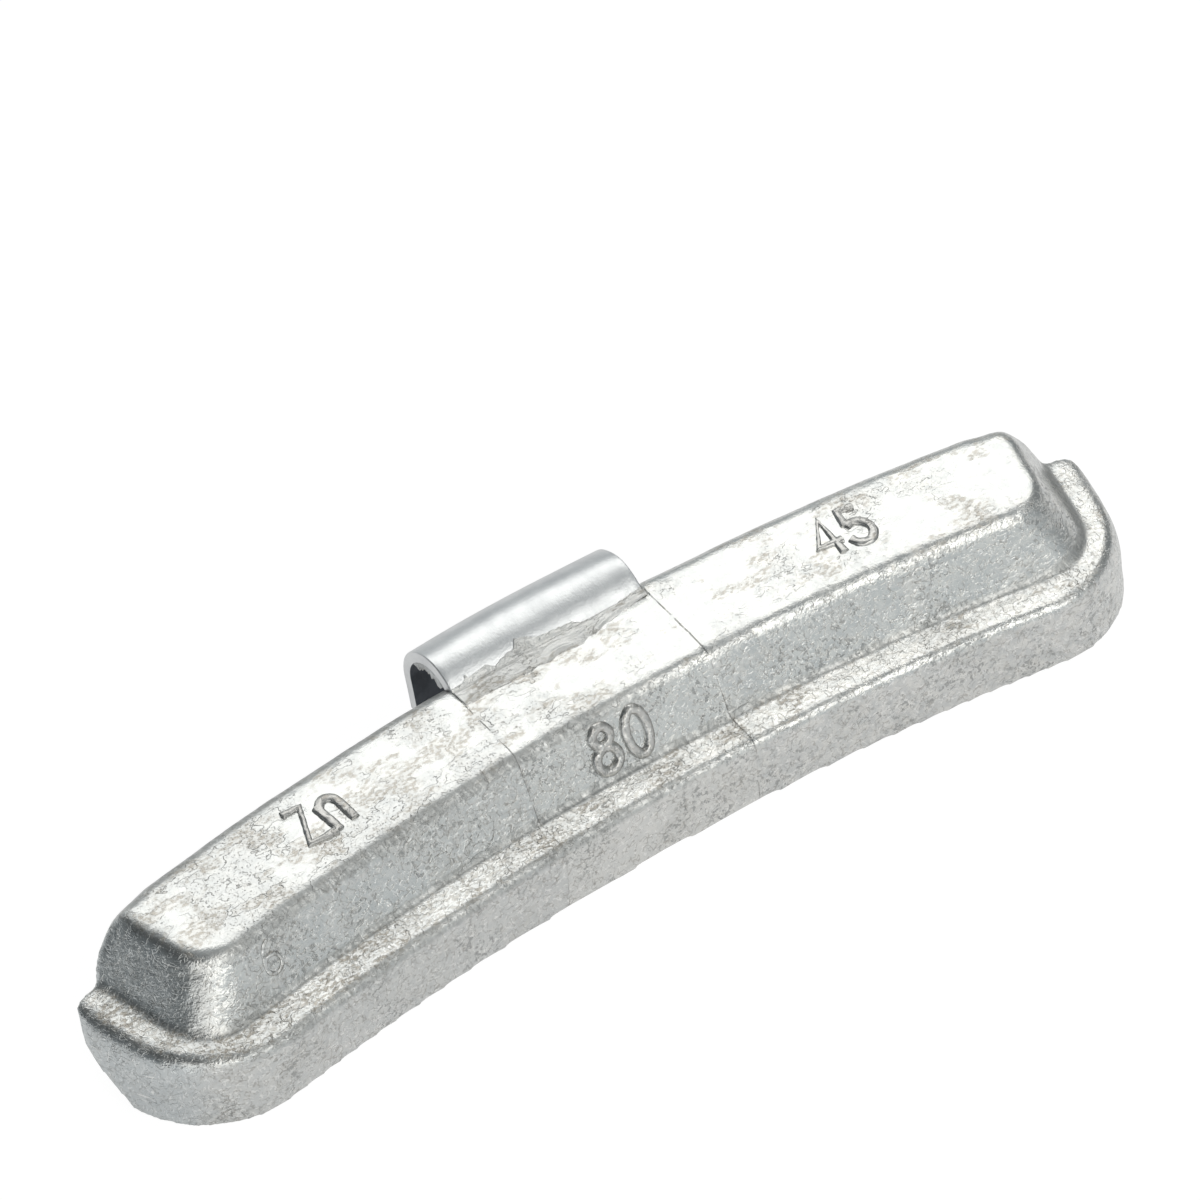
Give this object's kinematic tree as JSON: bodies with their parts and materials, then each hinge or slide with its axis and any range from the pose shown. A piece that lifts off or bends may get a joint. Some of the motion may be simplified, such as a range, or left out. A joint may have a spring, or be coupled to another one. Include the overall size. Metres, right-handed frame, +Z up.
{
  "type": "wheel balance weight",
  "caption": "Curved zinc balance weight with a stepped, rounded section and a rolled steel spring clip in its back that hooks over the lip of a wheel rim.",
  "frame": {"origin": "on the plane of the flat underside, at the middle of the box around the whole weight", "axes": "+X along the chord of the weight, +Y outwards to the rim flange and the clip, +Z up from the underside to the clip's roll"},
  "size_m": [0.098, 0.0252, 0.0124],
  "materials": {
    "cast_zinc": "as cast, matt grey zinc with bright worn edges",
    "clip_steel": "satin zinc plate"
  },
  "bodies": {
    "root": {"weight_body": "cast_zinc", "rim_clip": "clip_steel"}
  },
  "joints": []
}
